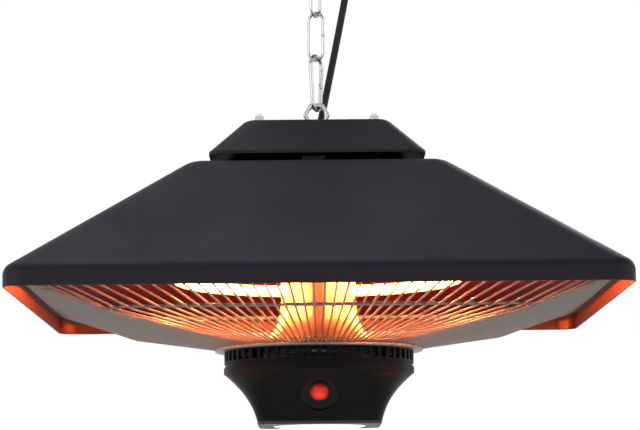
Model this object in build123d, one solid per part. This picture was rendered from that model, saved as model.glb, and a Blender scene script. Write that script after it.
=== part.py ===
from build123d import *
import math
import os

# A hanging electric infrared heater: a square pressed canopy with a ring lamp under it, a wire guard
# below the lamp, and a black control pod with a light under the guard. It hangs by an eye bolt, a snap
# hook and a chain from a hook in a ceiling rose. All sizes are millimetres.
# Every height below is measured up from the bottom edge of the canopy's skirt. Only at the very end is
# the whole part moved down, so that its origin is the middle of the rose's face on the ceiling, +Z up.

# Canopy and hood
CANOPY_WIDTH = 598.0
CANOPY_TOP_WIDTH = 258.0
CANOPY_HEIGHT = 142.0
SKIRT_HEIGHT = 18.5
CANOPY_CORNER = 20.0
CANOPY_SHEET = 1.2
SKIRT_FOLD = 13.0
CANOPY_TOP_FOLD = 34.0
CANOPY_VENT_BORE = 84.0
HOOD_WIDTH = 221.0
HOOD_TOP_WIDTH = 147.0
HOOD_LIP = 3.0
HOOD_RISE = 37.5
HOOD_CORNER = 16.0
HOOD_SHEET = 1.2
HOOD_TOP_FOLD = 15.0
VENT_GAP = 9.0
HANGER_PLATE_WIDTH = 130.0
HANGER_PLATE = 2.0

# Fasteners and the clearances around them
CLEARANCE = 0.2
SEAT = 0.05
ROD_OFFSET = 59.5
ROD = 5.0
ROD_NUT_FLATS = 8.0
ROD_NUT_HEIGHT = 4.0
ROD_WASHER = 10.0
ROD_END = 2.5
WASHER = 1.0
UPPER_SPACER = 8.5
LOWER_SPACER = 10.0

# Suspension
EYE_RING_OUTER = 29.0
EYE_WIRE = 6.0
EYE_NECK = 6.0
EYE_SHANK = 8.0
EYE_SHANK_LENGTH = 24.0
EYE_COLLAR = 17.0
EYE_COLLAR_HEIGHT = 3.0
EYE_LIFT = 0.6
EYE_WASHER = 24.0
EYE_NUT_FLATS = 13.0
EYE_NUT_HEIGHT = 6.5
HOOK_WIRE = 4.5
HOOK_LENGTH = 62.0
HOOK_WIDE_END = 26.0
HOOK_NARROW_END = 19.5
HOOK_TURN = 58.0
GATE_PIVOT_RISE = 19.0
GATE_LENGTH = 18.0
GATE_PIN = 1.6
GATE_TONGUE = 1.8
GATE_PLAY = 0.15
GATE_GAP = 0.5
PIN_PLAY = 0.05
LINK_WIRE = 3.2
LINK_LENGTH = 54.0
LINK_WIDTH = 21.0
LINK_TURNS = (-32.0, 58.0)
LINK_PLAY = 0.35
CEILING_HOOK_WIRE = 5.0
CEILING_HOOK_RADIUS = 9.5
CEILING_HOOK_TURN = -32.0
CEILING_HOOK_MOUTH = 60.0
HOOK_NUT_FLATS = 10.0
HOOK_NUT_HEIGHT = 4.0
ROSE_DIAMETER = 122.0
ROSE_HEIGHT = 30.0
ROSE_WALL = 1.6
ROSE_FOLD = 9.0
ROSE_PLATE_DIAMETER = 100.0
ROSE_PLATE = 5.0
ROSE_SCREW_SPACING = 70.0
ROSE_SCREW_HOLE = 5.5
ROSE_BLIND_BORE = 3.5

# Power cord, its grommet in the hood and its gland in the rose
CORD = 7.5
CORD_LEAN = 12.0
CORD_AT_HOOD = (2.0, 21.0)
CORD_LAST_RUN = 14.0
GROMMET_FLANGE = 18.0
GROMMET_FLANGE_HEIGHT = 2.0
GROMMET_BARREL = 13.0
GROMMET_BARREL_DEPTH = 6.0
GROMMET_TIP = 11.0
GROMMET_RISE = 8.0
GLAND_BODY = 15.0
GLAND_DROP = 12.0
GLAND_THREAD = 12.0
GLAND_NUT_FLATS = 17.0
GLAND_NUT_HEIGHT = 4.0
TERMINAL_WIDTH = 24.0
TERMINAL_DEPTH = 15.0
TERMINAL_HEIGHT = 11.0
TAIL = 26.0
BRACKET_SHEET = 1.2

# Reflector, ring lamp and their wiring
REFLECTOR_EDGE_GAP = 3.8
REFLECTOR_EDGE = 11.0
REFLECTOR_TOP_INSET = 4.0
REFLECTOR_RISE = 73.0
REFLECTOR_CORNER = 80.0
REFLECTOR_TOP_CORNER = 40.0
REFLECTOR_SHEET = 1.0
LAMP_RADIUS = 145.0
LAMP_HEIGHT = 33.0
LAMP_TUBE = 12.0
LAMP_GLASS = 1.2
LAMP_BEND = 15.0
LAMP_END_SPACING = 110.0
LAMP_END_RISE = 14.0
FILAMENT = 3.0
FILAMENT_DISC = 0.6
FILAMENT_DISCS = 16
LAMP_CAP = 17.0
LAMP_CAP_HEIGHT = 20.0
LAMP_CAP_DEPTH = 9.0
LAMP_PLATE_RISE = 13.0
LAMP_PLATE_MARGIN = 8.0
LAMP_CLIP_WIDTH = 8.0
LAMP_CLIP_MOUTH = 80.0
LEAD = 2.8
POD_CABLE = 5.0

# Guard of welded wires
GUARD_WIRES = 144
GUARD_WIRE = 2.2
GUARD_RIM_INSET = 6.0
GUARD_RIM_CORNER = 90.0
GUARD_RIM_HEIGHT = 13.0
GUARD_RIM_WIRE = 4.0
GUARD_BEND_WIDTH = 412.0
GUARD_BEND_CORNER = 22.0
GUARD_BEND_HEIGHT = -15.2
GUARD_BEND_RADIUS = 40.0
GUARD_BRACE_WIRE = 3.4
GUARD_FOOT_RADIUS = 111.0
GUARD_FOOT_BEND = 8.0
GUARD_HUB_RADIUS = 106.0
GUARD_END_RADIUS = 103.5
GUARD_HUB_WIRE = 3.0
GUARD_CLIP_WIDTH = 7.0
GUARD_CLIP_SHEET = 1.0
GUARD_CLIP_REACH = 5.0
GUARD_CLIP_STEP = 10

# Column between reflector and pod
COLUMN = 78.0
COLUMN_SHEET = 1.0
COLUMN_SEAM = 8.0
FLARE_STRAIGHT = 4.5
FLARE_FOOT_RADIUS = 66.0
TIE_ROD = 8.0
TIE_NUT_FLATS = 13.0
TIE_NUT_HEIGHT = 6.5
TIE_END = 4.0

# Control pod
POD_RING_TOP = -40.8
POD_RING_RADIUS = 109.0
POD_RING_INNER = 84.0
POD_RING_HEIGHT = 3.2
POD_RING_EDGE = 1.4
POD_LID_RADIUS = 101.0
POD_LID = 1.6
POD_RADIUS = 99.0
POD_WALL = 2.6
POD_COLLAR_HEIGHT = 17.5
POD_SLOTS = 56
POD_SLOT_TOP = 1.0
POD_SLOT_HEIGHT = 9.8
POD_SLOT_SHARE = 0.6
POD_GROOVE_HEIGHT = 3.0
POD_GROOVE_DEPTH = 1.3
POD_LIP_HEIGHT = 5.7
POD_LIP_STAND = 0.5
POD_TOP_FLAT = 1.0
POD_FLARE_HEIGHT = 51.4
POD_BASE_WIDTH = 128.0
POD_BASE_CORNER = 17.0
POD_FLARE_SAG = 5.6
POD_SECTIONS = 6
POD_BOSS = 9.0
POD_BOSS_RADIUS = 88.0
POD_SCREW = 4.0
POD_SCREW_HEAD = 7.6
POD_SCREW_HEAD_HEIGHT = 2.4
POD_FRAME = 3.0
POD_FRAME_EDGE = 1.5
FRAME_SCREW_RADIUS = 66.0
FRAME_SCREW = 3.0
FRAME_SCREW_HEAD = 5.6
FRAME_SCREW_HEAD_HEIGHT = 1.6
FRAME_BOSS = 7.5
FRAME_BOSS_HEIGHT = 12.0
DIFFUSER_RADIUS = 48.0
DIFFUSER_DROP = 7.0
DIFFUSER_WALL = 1.8
DIFFUSER_FLANGE = 4.0
LED_BOARD = 1.6
LED_SIZE = 3.5
LED_HEIGHT = 0.9
LED_RINGS = ((12.0, 6), (24.0, 12), (36.0, 18))
BEZEL = 38.0
BEZEL_DEPTH = 2.6
BEZEL_STAND = 0.6
BEZEL_FLANGE = 2.0
BEZEL_DISH = 2.4
BEZEL_PLACE = 0.53
LENS = 20.0
LENS_DOME = 5.5
LENS_STEM = 2.8
CONTROL_BOARD_RADIUS = 60.0
CONTROL_BOARD = 1.6
CONTROL_BOARD_DROP = 25.0
TRANSFORMER = (34.0, 28.0, 17.0)
RELAY = (19.0, 16.0, 15.0)

PARTS = {}
MIN_Z = (Align.CENTER, Align.CENTER, Align.MIN)
CORNERS = [(x, y) for x in (-1, 1) for y in (-1, 1)]


def rounded_square(width, corner, z):
    """A flat square face with rounded corners at one height."""
    return Pos(0, 0, z) * RectangleRounded(width, width, corner)


def frustum(width, top_width, corner, top_corner, z0, z1):
    """A square pyramid stump with rounded hips."""
    return loft([rounded_square(width, corner, z0), rounded_square(top_width, top_corner, z1)], ruled=True)


def rod(diameter, z0, z1, x=0.0, y=0.0):
    """A round upright rod."""
    return Pos(x, y, z0) * Cylinder(diameter / 2, z1 - z0, align=MIN_Z)


def tube(outer, inner, z0, z1, x=0.0, y=0.0):
    """A round upright tube."""
    return rod(outer, z0, z1, x, y) - rod(inner, z0, z1, x, y)


def hex_nut(flats, bore, z0, height, x=0.0, y=0.0):
    """A six-sided nut with its upper corners turned off."""
    corner = flats / 2 / math.cos(math.pi / 6)
    body = extrude(Pos(x, y, z0) * RegularPolygon(corner, 6), height)
    body &= Pos(x, y, z0) * Cone(corner + height, corner - flats / 20, height, align=MIN_Z)
    return body - rod(bore, z0, z0 + height, x, y)


def edges_at(shape, z):
    """The edges that lie flat at one height."""
    return shape.edges().filter_by_position(Axis.Z, z - SEAT, z + SEAT)


def pipe(path, outer, inner=0.0):
    """A round bar along a path, or a tube where the inner diameter is given."""
    start = Plane(origin=path @ 0, z_dir=path % 0)
    body = sweep(start * Circle(outer / 2), path=path)
    if inner > 0:
        body -= sweep(start * Circle(inner / 2), path=path)
    return body


def square_reach(width, corner, angle):
    """How far a rounded square's outline is from its middle in one direction."""
    near, far = sorted((abs(math.cos(angle)), abs(math.sin(angle))))
    side = width / 2 / far
    straight = width / 2 - corner
    if side * near <= straight:
        return side
    toward = straight * (near + far)
    return toward + math.sqrt(toward ** 2 - 2 * straight ** 2 + corner ** 2)


# Canopy: one pressed sheet with a folded skirt
def canopy_block(inset):
    """The canopy's outer block, or with an inset the hollow inside its sheet."""
    slope = math.atan2(CANOPY_HEIGHT - SKIRT_HEIGHT, (CANOPY_WIDTH - CANOPY_TOP_WIDTH) / 2)
    top = CANOPY_HEIGHT - inset
    fold = SKIRT_HEIGHT - inset * math.tan(slope / 2)
    spread = (top - fold) / math.tan(slope)
    width = CANOPY_WIDTH - 2 * inset
    corner = CANOPY_CORNER - inset
    block = extrude(rounded_square(width, corner, 0), fold)
    block += frustum(width, width - 2 * spread, corner, corner, fold, top)
    block = fillet(edges_at(block, top), CANOPY_TOP_FOLD - inset)
    return fillet(edges_at(block, fold), SKIRT_FOLD - inset)


ROD_PLACES = [(x * ROD_OFFSET, y * ROD_OFFSET) for x, y in CORNERS]
canopy = canopy_block(0) - canopy_block(CANOPY_SHEET)
canopy -= rod(CANOPY_VENT_BORE, 0, CANOPY_HEIGHT)
for x, y in ROD_PLACES:
    canopy -= rod(ROD + 2 * CLEARANCE, 0, CANOPY_HEIGHT, x, y)
PARTS["canopy"] = [canopy]

# Hood: a second pressed sheet over the canopy's vent, on a steel plate and four rods
HOOD_BOTTOM = CANOPY_HEIGHT + VENT_GAP
HOOD_TOP = HOOD_BOTTOM + HOOD_LIP + HOOD_RISE
PLATE_TOP = HOOD_TOP - HOOD_SHEET
PLATE_BOTTOM = PLATE_TOP - HANGER_PLATE
CORD_X, CORD_Y = CORD_AT_HOOD


def hood_block(inset):
    """The hood's outer block, or with an inset the hollow inside its sheet."""
    slope = math.atan2(HOOD_RISE, (HOOD_WIDTH - HOOD_TOP_WIDTH) / 2)
    top = HOOD_TOP - inset
    fold = HOOD_BOTTOM + HOOD_LIP - inset * math.tan(slope / 2)
    spread = (top - fold) / math.tan(slope)
    width = HOOD_WIDTH - 2 * inset
    corner = HOOD_CORNER - inset
    block = extrude(rounded_square(width, corner, HOOD_BOTTOM), fold - HOOD_BOTTOM)
    block += frustum(width, width - 2 * spread, corner, corner, fold, top)
    return fillet(edges_at(block, top), HOOD_TOP_FOLD - inset)


hood = hood_block(0) - hood_block(HOOD_SHEET)
hanger_plate = extrude(rounded_square(HANGER_PLATE_WIDTH, ROD_WASHER / 2, PLATE_BOTTOM), HANGER_PLATE)
hanger_holes = [rod(EYE_SHANK + 2 * CLEARANCE, PLATE_BOTTOM, HOOD_TOP)]
hanger_holes.append(rod(GROMMET_BARREL + 2 * CLEARANCE, PLATE_BOTTOM, HOOD_TOP, CORD_X, CORD_Y))
hanger_holes += [rod(ROD + 2 * CLEARANCE, PLATE_BOTTOM, HOOD_TOP, x, y) for x, y in ROD_PLACES]
PARTS["hood"] = [hood - hanger_holes]
PARTS["hanger_plate"] = [hanger_plate - hanger_holes]

# The reflector fits inside the canopy's skirt, and the guard's rim fits under the reflector's edge
REFLECTOR_EDGE_WIDTH = CANOPY_WIDTH - 2 * (CANOPY_SHEET + REFLECTOR_EDGE_GAP)
REFLECTOR_MOUTH_WIDTH = REFLECTOR_EDGE_WIDTH - 2 * REFLECTOR_EDGE
REFLECTOR_TOP_WIDTH = CANOPY_TOP_WIDTH - 2 * REFLECTOR_TOP_INSET
GUARD_RIM_WIDTH = REFLECTOR_EDGE_WIDTH - 2 * GUARD_RIM_INSET

# Four long rods carry the hood, canopy and reflector, spaced by tubes and closed by nuts
REFLECTOR_EDGE_HEIGHT = GUARD_RIM_HEIGHT + GUARD_WIRE / 2 + GUARD_RIM_WIRE + 2 * SEAT + CLEARANCE
REFLECTOR_TOP = REFLECTOR_EDGE_HEIGHT + REFLECTOR_SHEET + REFLECTOR_RISE
REFLECTOR_UNDER = REFLECTOR_TOP - REFLECTOR_SHEET
TOP_NUT = HOOD_TOP + WASHER
BOTTOM_NUT = REFLECTOR_UNDER - ROD_NUT_HEIGHT
rod_names = ("hanger_rods", "rod_nuts", "rod_washers", "upper_spacers", "lower_spacers")
for name in rod_names:
    PARTS[name] = []
for x, y in ROD_PLACES:
    bore = ROD + 2 * SEAT
    PARTS["hanger_rods"].append(rod(ROD, BOTTOM_NUT - ROD_END, TOP_NUT + ROD_NUT_HEIGHT + ROD_END, x, y))
    PARTS["rod_nuts"].append(hex_nut(ROD_NUT_FLATS, bore, TOP_NUT, ROD_NUT_HEIGHT, x, y))
    PARTS["rod_nuts"].append(hex_nut(ROD_NUT_FLATS, bore, BOTTOM_NUT, ROD_NUT_HEIGHT, x, y))
    PARTS["rod_washers"].append(tube(ROD_WASHER, bore, HOOD_TOP, HOOD_TOP + WASHER, x, y))
    PARTS["upper_spacers"].append(tube(UPPER_SPACER, bore, CANOPY_HEIGHT, PLATE_BOTTOM, x, y))
    PARTS["lower_spacers"].append(tube(LOWER_SPACER, bore, REFLECTOR_TOP, CANOPY_HEIGHT - CANOPY_SHEET, x, y))

# Eye bolt: a ring on a collar, with its shank down through the hood and the hanger plate
EYE_RADIUS = (EYE_RING_OUTER - EYE_WIRE) / 2
EYE_CENTRE = HOOD_TOP + EYE_COLLAR_HEIGHT + EYE_LIFT + EYE_RADIUS
EYE_TOP_WIRE = EYE_CENTRE + EYE_RADIUS
eye_bolt = Pos(0, 0, EYE_CENTRE) * Rot(90, 0, 0) * Torus(EYE_RADIUS, EYE_WIRE / 2)
eye_bolt += rod(EYE_NECK, HOOD_TOP, EYE_CENTRE - EYE_RADIUS)
eye_bolt += rod(EYE_COLLAR, HOOD_TOP, HOOD_TOP + EYE_COLLAR_HEIGHT)
eye_bolt += rod(EYE_SHANK, HOOD_TOP - EYE_SHANK_LENGTH, HOOD_TOP)
eye_bore = EYE_SHANK + 2 * SEAT
EYE_WASHER_BOTTOM = PLATE_BOTTOM - WASHER
PARTS["eye_bolt"] = [eye_bolt]
PARTS["eye_washer"] = [tube(EYE_WASHER, eye_bore, EYE_WASHER_BOTTOM, PLATE_BOTTOM)]
PARTS["eye_nut"] = [hex_nut(EYE_NUT_FLATS, eye_bore, EYE_WASHER_BOTTOM - EYE_NUT_HEIGHT, EYE_NUT_HEIGHT)]

# Snap hook: a pear of bent wire, wide end up, drawn in its own plane and then turned about +Z
HOOK_LOW = EYE_TOP_WIRE - (EYE_WIRE + HOOK_WIRE) / 2 - LINK_PLAY
NARROW = (HOOK_NARROW_END - HOOK_WIRE) / 2
WIDE = (HOOK_WIDE_END - HOOK_WIRE) / 2
NARROW_Z = HOOK_LOW + NARROW
WIDE_Z = HOOK_LOW - HOOK_WIRE + HOOK_LENGTH - WIDE
SIDE_LEAN = math.asin((WIDE - NARROW) / (WIDE_Z - NARROW_Z))
SIDE_LENGTH = (WIDE_Z - NARROW_Z) * math.cos(SIDE_LEAN)


def hook_side(run, side=1):
    """A point on a straight side, by its distance up from the narrow bow."""
    x = NARROW * math.cos(SIDE_LEAN) + run * math.sin(SIDE_LEAN)
    z = NARROW_Z - NARROW * math.sin(SIDE_LEAN) + run * math.cos(SIDE_LEAN)
    return Vector(side * x, 0, z)


GATE_PIVOT = hook_side(GATE_PIVOT_RISE)
SHOULDER = GATE_PIVOT_RISE - HOOK_WIRE / 2 - GATE_GAP
NOSE = GATE_PIVOT_RISE + GATE_LENGTH
gate_frame = Plane(origin=GATE_PIVOT, x_dir=(math.cos(SIDE_LEAN), 0, -math.sin(SIDE_LEAN)),
                   z_dir=(math.sin(SIDE_LEAN), 0, math.cos(SIDE_LEAN))).location
hook_line = Line(hook_side(SHOULDER), hook_side(0))
hook_line += ThreePointArc(hook_side(0), (0, 0, NARROW_Z - NARROW), hook_side(0, -1))
hook_line += Line(hook_side(0, -1), hook_side(SIDE_LENGTH, -1))
hook_line += ThreePointArc(hook_side(SIDE_LENGTH, -1), (0, 0, WIDE_Z + WIDE), hook_side(SIDE_LENGTH))
hook_line += Line(hook_side(SIDE_LENGTH), hook_side(NOSE))
PIN_HOLE = GATE_PIN + 2 * PIN_PLAY
upright = Rot(90, 0, 0)
tongue = Pos(0, 0, -HOOK_WIRE) * Box(HOOK_WIRE, GATE_TONGUE, 2 * HOOK_WIRE) + upright * Cylinder(HOOK_WIRE / 2, GATE_TONGUE)
tongue -= upright * Cylinder(PIN_HOLE / 2, GATE_TONGUE)
slot = Box(2 * HOOK_WIRE, GATE_TONGUE + 2 * GATE_PLAY, HOOK_WIRE + 2 * GATE_GAP)
gate = upright * Cylinder(HOOK_WIRE / 2, HOOK_WIRE) & Cylinder(HOOK_WIRE / 2, 2 * HOOK_WIRE)
gate += Cylinder(HOOK_WIRE / 2, GATE_LENGTH - GATE_GAP, align=MIN_Z)
gate = gate - slot - upright * Cylinder(PIN_HOLE / 2, HOOK_WIRE)
turned = Rot(0, 0, HOOK_TURN)
PARTS["snap_hook"] = [turned * (pipe(hook_line, HOOK_WIRE) + gate_frame * tongue)]
PARTS["snap_gate"] = [turned * gate_frame * gate]
PARTS["gate_pin"] = [turned * gate_frame * upright * Cylinder(GATE_PIN / 2, HOOK_WIRE * 0.9)]

# Chain: two long welded links, each a quarter turn from the next
BOW = (LINK_WIDTH - LINK_WIRE) / 2


def link(low, turn):
    """One link whose lowest wire centre is at the height low."""
    high = low + LINK_LENGTH - LINK_WIRE
    line = Line((BOW, 0, high - BOW), (BOW, 0, low + BOW))
    line += ThreePointArc((BOW, 0, low + BOW), (0, 0, low), (-BOW, 0, low + BOW))
    line += Line((-BOW, 0, low + BOW), (-BOW, 0, high - BOW))
    line += ThreePointArc((-BOW, 0, high - BOW), (0, 0, high), (BOW, 0, high - BOW))
    return Rot(0, 0, turn) * pipe(line, LINK_WIRE)


carried_wire, carried_size = WIDE_Z + WIDE, HOOK_WIRE
for number, turn in enumerate(LINK_TURNS, 1):
    low = carried_wire - (carried_size + LINK_WIRE) / 2 - LINK_PLAY
    PARTS[f"chain_link_{number}"] = [link(low, turn)]
    carried_wire, carried_size = low + LINK_LENGTH - LINK_WIRE, LINK_WIRE

# Ceiling hook: an open eye on a threaded shank, clamped through the rose's cover
HOOK_BOW_LOW = carried_wire - (carried_size + CEILING_HOOK_WIRE) / 2 - LINK_PLAY
HOOK_BOW_CENTRE = HOOK_BOW_LOW + CEILING_HOOK_RADIUS
ROSE_BOTTOM = HOOK_BOW_CENTRE + CEILING_HOOK_RADIUS + CEILING_HOOK_WIRE / 2 + HOOK_NUT_HEIGHT
CEILING = ROSE_BOTTOM + ROSE_HEIGHT
PLATE_UNDER = CEILING - ROSE_PLATE
bow_section = Pos(CEILING_HOOK_RADIUS, 0, 0) * Rot(90, 0, 0) * Circle(CEILING_HOOK_WIRE / 2)
bow = revolve(bow_section, Axis.Z, 360 - CEILING_HOOK_MOUTH)
bow = Pos(0, 0, HOOK_BOW_CENTRE) * Rot(90, 90 + CEILING_HOOK_MOUTH, 0) * bow
shank_top = PLATE_UNDER + ROSE_BLIND_BORE - SEAT
ceiling_hook = Rot(0, 0, CEILING_HOOK_TURN) * bow
ceiling_hook += rod(CEILING_HOOK_WIRE, HOOK_BOW_CENTRE + CEILING_HOOK_RADIUS, shank_top)
shank_bore = CEILING_HOOK_WIRE + 2 * SEAT
PARTS["ceiling_hook"] = [ceiling_hook]
PARTS["hook_nut"] = [hex_nut(HOOK_NUT_FLATS, shank_bore, ROSE_BOTTOM - HOOK_NUT_HEIGHT, HOOK_NUT_HEIGHT)]

# Ceiling rose: a cover, a steel plate with a blind threaded middle, and a terminal block
rose_cover = rod(ROSE_DIAMETER, ROSE_BOTTOM, CEILING)
rose_cover = fillet(edges_at(rose_cover, ROSE_BOTTOM), ROSE_FOLD)
rose_hollow = rod(ROSE_DIAMETER - 2 * ROSE_WALL, ROSE_BOTTOM + ROSE_WALL, CEILING)
rose_hollow = fillet(edges_at(rose_hollow, ROSE_BOTTOM + ROSE_WALL), ROSE_FOLD - ROSE_WALL)
rose_cover -= rose_hollow
rose_cover -= rod(CEILING_HOOK_WIRE + 2 * CLEARANCE, ROSE_BOTTOM, CEILING)
rose_plate = rod(ROSE_PLATE_DIAMETER, PLATE_UNDER, CEILING)
rose_plate -= rod(shank_bore, PLATE_UNDER, PLATE_UNDER + ROSE_BLIND_BORE)
for side in (-1, 1):
    rose_plate -= rod(ROSE_SCREW_HOLE, PLATE_UNDER, CEILING, 0, side * ROSE_SCREW_SPACING / 2)

# Power cord: taut from the hood's grommet to the rose's gland, with a short tail inside each
LEAN = math.radians(CORD_LEAN)
CORD_DIRECTION = Vector(math.sin(LEAN), 0, math.cos(LEAN))
CORD_ENTRY = Vector(CORD_X, CORD_Y, HOOD_TOP)
CORD_START = CORD_ENTRY + CORD_DIRECTION * GROMMET_RISE
GLAND_BOTTOM = ROSE_BOTTOM - GLAND_DROP
BEND_Z = GLAND_BOTTOM - CORD_LAST_RUN
CORD_BEND = CORD_ENTRY + CORD_DIRECTION * ((BEND_Z - HOOD_TOP) / math.cos(LEAN))
CORD_END = Vector(CORD_BEND.X, CORD_Y, GLAND_BOTTOM)
cord_radius = 0.45 * CORD_LAST_RUN / math.tan(LEAN / 2)
cord_route = FilletPolyline(CORD_START, CORD_BEND, CORD_END, radius=cord_radius)
print(f"cord bend radius {cord_radius:.1f}, length {cord_route.length:.1f}")
PARTS["power_cord"] = [pipe(cord_route, CORD)]
GLAND_X = CORD_BEND.X
rose_cover -= rod(GLAND_THREAD + 2 * CLEARANCE, ROSE_BOTTOM, CEILING, GLAND_X, CORD_Y)
cord_bore = CORD + 2 * CLEARANCE
gland = rod(GLAND_THREAD, ROSE_BOTTOM - SEAT, ROSE_BOTTOM + ROSE_WALL + GLAND_NUT_HEIGHT, GLAND_X, CORD_Y)
gland_shoulder = hex_nut(GLAND_NUT_FLATS, 1, ROSE_BOTTOM - GLAND_NUT_HEIGHT, GLAND_NUT_HEIGHT, GLAND_X, CORD_Y)
gland_dome_height = GLAND_DROP - GLAND_NUT_HEIGHT
gland_dome = Pos(GLAND_X, CORD_Y, GLAND_BOTTOM) * Cone(GLAND_THREAD / 2, GLAND_BODY / 2, gland_dome_height, align=MIN_Z)
gland = gland + gland_shoulder + gland_dome - rod(cord_bore, GLAND_BOTTOM, CEILING, GLAND_X, CORD_Y)
nut_bottom = ROSE_BOTTOM + ROSE_WALL
terminal_bottom = PLATE_UNDER - TERMINAL_HEIGHT
rose_terminal = Pos(GLAND_X - TERMINAL_WIDTH / 8, CORD_Y, terminal_bottom)
rose_terminal *= Box(TERMINAL_WIDTH / 2, TERMINAL_DEPTH, TERMINAL_HEIGHT, align=MIN_Z)
PARTS["rose_cover"] = [rose_cover]
PARTS["rose_plate"] = [rose_plate]
PARTS["rose_gland"] = [gland]
PARTS["gland_nut"] = [hex_nut(GLAND_NUT_FLATS, GLAND_THREAD + 2 * SEAT, nut_bottom, GLAND_NUT_HEIGHT - 1, GLAND_X, CORD_Y)]
PARTS["rose_terminal"] = [rose_terminal]
PARTS["rose_tail"] = [rod(CORD, GLAND_BOTTOM, terminal_bottom, GLAND_X, CORD_Y)]

# Hood end of the cord: a rubber grommet, the tail through it and a terminal block on a bracket
lean_frame = Plane(origin=CORD_ENTRY, x_dir=(math.cos(LEAN), 0, -math.sin(LEAN)), z_dir=CORD_DIRECTION).location
grommet = rod(GROMMET_FLANGE, HOOD_TOP, HOOD_TOP + GROMMET_FLANGE_HEIGHT, CORD_X, CORD_Y)
grommet += rod(GROMMET_BARREL, HOOD_TOP - GROMMET_BARREL_DEPTH, HOOD_TOP, CORD_X, CORD_Y)
tip_rise = GROMMET_RISE - SEAT
grommet += lean_frame * Cone(GROMMET_BARREL / 2, GROMMET_TIP / 2, tip_rise, align=MIN_Z)
grommet -= lean_frame * Cylinder(cord_bore / 2, 4 * GROMMET_RISE)
BLOCK_TOP = HOOD_TOP - TAIL
tail = lean_frame * Pos(0, 0, GROMMET_RISE - 2 * TAIL) * Cylinder(CORD / 2, 2 * TAIL, align=MIN_Z)
tail &= rod(2 * TAIL, BLOCK_TOP, HOOD_TOP + 2 * GROMMET_RISE, CORD_X, CORD_Y)
block_centre = (CORD_X - (HOOD_TOP - BLOCK_TOP) * math.tan(LEAN), CORD_Y, BLOCK_TOP - SEAT - TERMINAL_HEIGHT)
BLOCK_X, BLOCK_Y, BLOCK_BOTTOM = block_centre
terminal_block = Pos(block_centre) * Box(TERMINAL_WIDTH, TERMINAL_DEPTH, TERMINAL_HEIGHT, align=MIN_Z)
wall_y = BLOCK_Y + TERMINAL_DEPTH / 2 + SEAT
wall_height = PLATE_BOTTOM - BLOCK_BOTTOM
bracket = Pos(BLOCK_X, wall_y + BRACKET_SHEET / 2, BLOCK_BOTTOM) * Box(TERMINAL_WIDTH, BRACKET_SHEET, wall_height, align=MIN_Z)
foot_y = wall_y + TERMINAL_DEPTH / 2
foot_z = PLATE_BOTTOM - BRACKET_SHEET
bracket += Pos(BLOCK_X, foot_y, foot_z) * Box(TERMINAL_WIDTH, TERMINAL_DEPTH, BRACKET_SHEET, align=MIN_Z)
PARTS["cord_grommet"] = [grommet]
PARTS["cord_tail"] = [tail]
PARTS["terminal_block"] = [terminal_block]
PARTS["terminal_bracket"] = [bracket]

# Reflector: a pressed aluminium tray with a flat edge
def reflector_block(inset):
    """The tray's outer block, or with an inset the hollow under its sheet."""
    slope = math.atan2(REFLECTOR_RISE, (REFLECTOR_MOUTH_WIDTH - REFLECTOR_TOP_WIDTH) / 2)
    base = REFLECTOR_EDGE_HEIGHT
    top = REFLECTOR_TOP - inset
    width = REFLECTOR_MOUTH_WIDTH - 2 * inset / math.sin(slope)
    spread = (top - base) / math.tan(slope)
    corner, top_corner = REFLECTOR_CORNER - inset, REFLECTOR_TOP_CORNER - inset
    return frustum(width, width - 2 * spread, corner, top_corner, base, top)


edge_face = rounded_square(REFLECTOR_EDGE_WIDTH, REFLECTOR_CORNER, REFLECTOR_EDGE_HEIGHT)
reflector = extrude(edge_face, REFLECTOR_SHEET) + reflector_block(0)
reflector -= reflector_block(REFLECTOR_SHEET)
for x, y in ROD_PLACES:
    reflector -= rod(ROD + 2 * CLEARANCE, REFLECTOR_UNDER, REFLECTOR_TOP, x, y)
reflector -= rod(TIE_ROD + 2 * CLEARANCE, REFLECTOR_UNDER, REFLECTOR_TOP)
reflector -= rod(POD_CABLE + 4 * CLEARANCE, REFLECTOR_UNDER, REFLECTOR_TOP, BLOCK_X, BLOCK_Y)

# Ring lamp: a quartz tube in an open ring, whose two ends turn up into ceramic caps at the front
END_X = LAMP_END_SPACING / 2 + LAMP_BEND
END_Y = -math.sqrt(LAMP_RADIUS ** 2 - END_X ** 2)
inward = Vector(END_Y, -END_X, 0).normalized()
RAISED = LAMP_HEIGHT + LAMP_BEND
LAMP_TOP = RAISED + LAMP_END_RISE


def lamp_end(side):
    """The corner points of one turned-up end: ring end, middle of the bend, bend top and tube end."""
    ring_end = Vector(END_X, END_Y, LAMP_HEIGHT)
    reach = LAMP_BEND * math.sin(math.pi / 4)
    lift = LAMP_BEND - LAMP_BEND * math.cos(math.pi / 4)
    middle = ring_end + inward * reach + Vector(0, 0, lift)
    bend_top = ring_end + inward * LAMP_BEND + Vector(0, 0, LAMP_BEND)
    tube_end = Vector(bend_top.X, bend_top.Y, LAMP_TOP)
    return [Vector(side * p.X, p.Y, p.Z) for p in (ring_end, middle, bend_top, tube_end)]


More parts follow.
